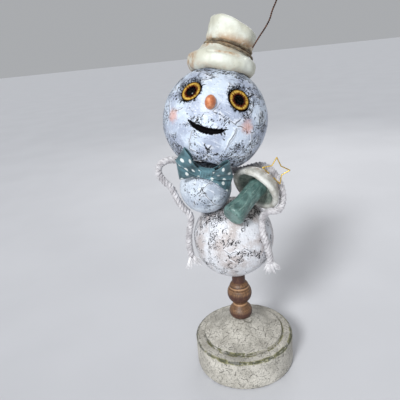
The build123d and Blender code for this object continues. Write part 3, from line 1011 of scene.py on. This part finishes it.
def loop_section(edges, along):
    """Across one loop of the bow: two panels, the upper one folded over the lower, with
    pleats that open out away from the knot."""
    top = through(edges["top"], along)
    fold = through(edges["fold"], along)
    bottom = through(edges["bottom"], along)
    puff = 0.9 + 2.2 * along
    tuck = 0.4 + 1.6 * along
    gather = 0.75 * (1 - along) ** 0.8 + 0.12
    section = []
    for step in range(upper_steps):
        share = step / (upper_steps - 1)
        bulge = puff * math.sin(math.pi * share) ** 0.8
        pleat = gather * math.cos(2 * math.pi * 2.2 * share)
        section.append(top.lerp(fold, share) - Vector((0, bulge + pleat, 0)))
    under = fold + Vector((0, 2.4 + tuck * 0.8, tuck))
    section.append(fold.lerp(under, 0.4) + Vector((0, 0, -0.1)))
    for step in range(lower_steps):
        share = step / (lower_steps - 1)
        bulge = puff * 0.6 * math.sin(math.pi * share) ** 0.8
        pleat = gather * 0.8 * math.cos(2 * math.pi * 1.6 * share)
        section.append(under.lerp(bottom, share) - Vector((0, bulge + pleat, 0)))
    return section


def bow_loop(name, edges, cad_node, finish):
    """One ribbon loop: out along the front, round its end and back behind."""
    steps = 16
    # Of the section's depth, the share that is kept and the share at the loop's end.
    kept_depth = 0.85
    end_share = 0.25
    rows = []
    for step in range(2 * steps + 1):
        front = step <= steps
        along = step / steps if front else 2 - step / steps
        round_end = math.sqrt(max(0.0, 1 - along**7))
        row = []
        near_knot = 1.0 if front else 0.0
        share = end_share + (near_knot - end_share) * round_end
        for point in loop_section(edges, along):
            depth = share * (bow_back - point.y) * kept_depth
            row.append(lifted(point.x, point.z, 0.6, depth))
        rows.append(row)
    return ribbon_piece(name, rows, cad_node, finish, loop_reach / steps)


def ribbon_piece(name, rows, cad_node, finish, step_length):
    """Sheet of ribbon through rows of points, with a map in millimetres."""
    across = len(rows[0])
    vertices = [point for row in rows for point in row]
    faces = []
    for i in range(len(rows) - 1):
        for j in range(across - 1):
            low = i * across + j
            faces.append((low, low + 1, low + across + 1, low + across))
    piece = mesh_piece(name, [(vertices, faces)], finish)
    layer = piece.data.uv_layers.new(name="ribbon")
    for loop in piece.data.loops:
        row, column = divmod(loop.vertex_index, across)
        layer.data[loop.index].uv = (row * step_length, column * ribbon_width / (across - 1))
    smooth = piece.modifiers.new("Smooth", "SUBSURF")
    smooth.levels = 1
    smooth.render_levels = 1
    thick = piece.modifiers.new("Thick", "SOLIDIFY")
    thick.thickness = ribbon_thickness * MM
    thick.offset = 0
    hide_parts(cad_node)
    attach(piece, "figure")
    return piece


def bow_knot(finish):
    """Ribbon wrapped round the middle, gathered into narrow upright pleats."""
    around_steps = 40
    across_steps = 36
    half_width = 6.9
    rows = []
    for i in range(across_steps + 1):
        x = half_width * (2 * i / across_steps - 1)
        pinch = abs(x) / half_width
        pleat = 0.4 * math.cos(x * 2 * math.pi / 2.3) * min(1.0, 0.25 + pinch)
        height = 4.5 + 0.5 * pinch**2
        depth = 5.5 - 0.9 * pinch**2 + pleat
        row = []
        for j in range(around_steps + 1):
            angle = 2 * math.pi * j / around_steps
            forward = math.copysign(abs(math.cos(angle)) ** 0.8, math.cos(angle))
            up = math.copysign(abs(math.sin(angle)) ** 0.8, math.sin(angle))
            lift = max(0.0, 1.4 + depth * forward)
            row.append(lifted(x, height * up - 2.1, 0.4, lift))
        rows.append(row)
    return ribbon_piece("bow_wrap", rows, "bow_knot", finish, 2 * half_width / across_steps)


def ring_line(turn):
    """Closed ring of points round the hat's waist."""
    radius, height, tilt = turn
    ring = head @ placed((-0.35, 0, height)) @ turned("Y", tilt)
    count = 220
    points = []
    for i in range(count + 1):
        angle = 2 * math.pi * i / count
        points.append(ring @ Vector((radius * math.cos(angle), radius * math.sin(angle), 0)))
    return points


def hat_twine(finish):
    """Two turns of two-ply twine, with stray hairs."""
    chance = random.Random(5)
    twists_in_turn = 36
    hairs_in_turn = 60
    parts = []
    for turn in twine_turns:
        line = ring_line(turn)
        pitch = distances(line)[-1] / twists_in_turn
        for ply in (0.0, 0.5):
            parts.append(tube(wound(line, 0.5, pitch, start=ply), 0.52, sides=8))
        for _ in range(hairs_in_turn):
            start = line[chance.randrange(len(line))]
            drift = Vector([chance.uniform(-1, 1) for _ in range(3)]).normalized()
            hair = [start + drift * 0.9 * step for step in (0.6, 1.2, 1.7, 2.1)]
            hair[-1] += Vector([chance.uniform(-0.5, 0.5) for _ in range(3)])
            parts.append(tube(hair, 0.07, sides=4, taper=0.5))
    piece = mesh_piece("waist_twine", parts, finish)
    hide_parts("hat_twine")
    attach(piece, "figure")


def twisted_wire(finish):
    """Two thin wires twisted together, as the hat's wire is."""
    line = spline_points("wire_line", hat_wire_route)
    radius = 0.36
    pitch = 3.4
    strands = [
        tube(wound(line, radius, pitch, start=ply), radius, sides=8) for ply in (0.0, 0.5)
    ]
    piece = mesh_piece("crooked_wire", strands, finish)
    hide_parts("hat_wire")
    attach(piece, "figure")


# ---- Worn copies of the hard parts ----


def bumps(point, size, height):
    """Smooth lumps of this size and height, in millimetres."""
    return height * noise.noise(point / (size * MM))


def worn_copy(node, voxel, relief, finish):
    """The CAD shape with an even mesh, its points moved along their normals by a few
    tenths of a millimetre where the relief says."""
    source = frame["nodes"][node]
    mesh = source.data.copy()
    mesh.materials.clear()
    piece = new_object(f"{node}_worn", mesh)
    weld = piece.modifiers.new("Weld", "WELD")
    weld.merge_threshold = 0.01 * MM
    even = piece.modifiers.new("Even", "REMESH")
    even.mode = "VOXEL"
    even.voxel_size = voxel * MM
    even.use_smooth_shade = True
    ease = piece.modifiers.new("Ease", "SMOOTH")
    ease.iterations = 3
    bpy.context.view_layer.update()
    evaluated = piece.evaluated_get(bpy.context.evaluated_depsgraph_get())
    made = bpy.data.meshes.new_from_object(evaluated)
    piece.modifiers.clear()
    piece.data = made
    for vertex, normal in zip(made.vertices, [v.normal.copy() for v in made.vertices]):
        vertex.co += normal * relief(vertex.co) * MM
    made.materials.clear()
    made.materials.append(finish)
    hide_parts(node)
    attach(piece, source["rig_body"])


def drum_relief(point):
    """Lumps that fade out at the floor, so that the drum stands flat."""
    above_floor = min(1.0, point.z / (3 * MM))
    return (bumps(point, 14, 0.45) + bumps(point, 4, 0.18)) * above_floor


def dome_relief(point):
    return bumps(point, 9, 0.4) + bumps(point, 3, 0.15)


def ball_relief(point):
    return bumps(point, 16, 0.5) + bumps(point, 4.5, 0.12)


def hat_relief(point):
    """Lumps, and one crease across the front of the brim."""
    local = head.inverted() @ (point / MM)
    crease_height = 51.5 + 1.6 * noise.noise(point / (11 * MM))
    crease_width = 1.3
    crease = math.exp(-(((local.z - crease_height) / crease_width) ** 2))
    if local.y > -8 or abs(local.x - 1) > 16:
        crease = 0.0
    return bumps(point, 15, 1.5) + bumps(point, 5, 0.4) - 0.9 * crease


def clay_relief(point):
    return bumps(point, 8, 0.6) + bumps(point, 2.6, 0.18)


# ---- The whole figure ----


def add_ropes():
    cotton = rope_cotton("rope_cotton", paint(166, 163, 166), paint(208, 206, 208), 0.55)
    loose = rope_cotton("loose_cotton", paint(212, 210, 212), paint(240, 239, 240), 0.15)
    for side, route, seed in (("left", left_arm_route, 3), ("right", right_arm_route, 11)):
        fray = frayed_end(
            f"{side}_fray", route, f"{side}_hand", f"{side}_hand_fray", loose, seed
        )
        nodes = (f"{side}_arm_rope", f"{side}_hand_rope")
        twisted_rope(f"{side}_rope", route, nodes, cotton)


def add_bow():
    cloth = ribbon_cloth("ribbon_dotted", paint(54, 84, 92), paint(88, 126, 136), True)
    for name, edges, cad_node in (
        ("bow_left", left_loop, "bow_loop_left"),
        ("bow_right", right_loop, "bow_loop_right"),
    ):
        piece = bow_loop(name, edges, cad_node, cloth)
    # The knot is the loops' ribbon without dots, given lighter colours as a painted highlight.
    lit_knot_cloth = ribbon_cloth("ribbon_knot_lit", paint(72, 108, 116), paint(112, 156, 168), False)
    knot = bow_knot(lit_knot_cloth)


def paint_node(node, finish):
    """Gives a CAD node one finish all over."""
    mesh = frame["nodes"][node].data
    mesh.materials.clear()
    mesh.materials.append(finish)


def add_hard_parts():
    stem_axis = Vector((27.3, 23.1, 17.9)).normalized()
    upright = stem_axis.to_track_quat("Z", "Y").to_matrix().to_4x4()
    mushroom = placed((-5.6, -35.6, 175.1)) @ upright
    base = base_paint()
    hat = hat_clay()
    worn_copy("base_drum", 1.0, drum_relief, base)
    worn_copy("base_dome", 0.8, dome_relief, base)
    worn_copy("head_ball", 0.8, ball_relief, face_paint())
    torso = ball_paint(
        "torso_paint", paint(204, 214, 224), paint(164, 174, 188), 0.20, 0.035, 214.0
    )
    lower = ball_paint(
        "lower_paint", paint(212, 214, 219), paint(182, 174, 172), 0.22, 0.016, 170.0
    )
    worn_copy("torso_ball", 0.8, ball_relief, torso)
    worn_copy("lower_ball", 0.8, ball_relief, lower)
    worn_copy("hat_brim", 0.7, hat_relief, hat)
    worn_copy("hat_crown", 0.7, hat_relief, hat)
    worn_copy("mushroom_cap", 0.5, clay_relief, cap_clay(mushroom))
    worn_copy("mushroom_stem", 0.5, clay_relief, mushroom_green(mushroom))
    paint_node("spindle", spindle_wood())
    paint_node("nose", nose_paint())
    paint_node("star_wire", gold_wire())
    paint_node("mushroom_pin", plain_steel())
    wood = dowel_wood()
    paint_node("waist_dowel", wood)
    paint_node("neck_dowel", wood)
    glass = eye_glass()
    for side, azimuth in (("left", -eye_azimuth), ("right", eye_azimuth)):
        paint_node(f"eye_iris_{side}", iris_paint(side, azimuth))
        paint_node(f"eye_glass_{side}", glass)


def add_floor():
    bpy.ops.mesh.primitive_plane_add(size=40.0)
    floor = bpy.context.active_object
    floor.name = "floor"
    floor.data.materials.append(floor_paint())


add_camera()
add_ropes()
add_bow()
add_hard_parts()
hat_twine(jute())
twisted_wire(rusty_wire())
add_floor()
add_world()
add_lamps()
bpy.context.scene.view_settings.view_transform = "Standard"
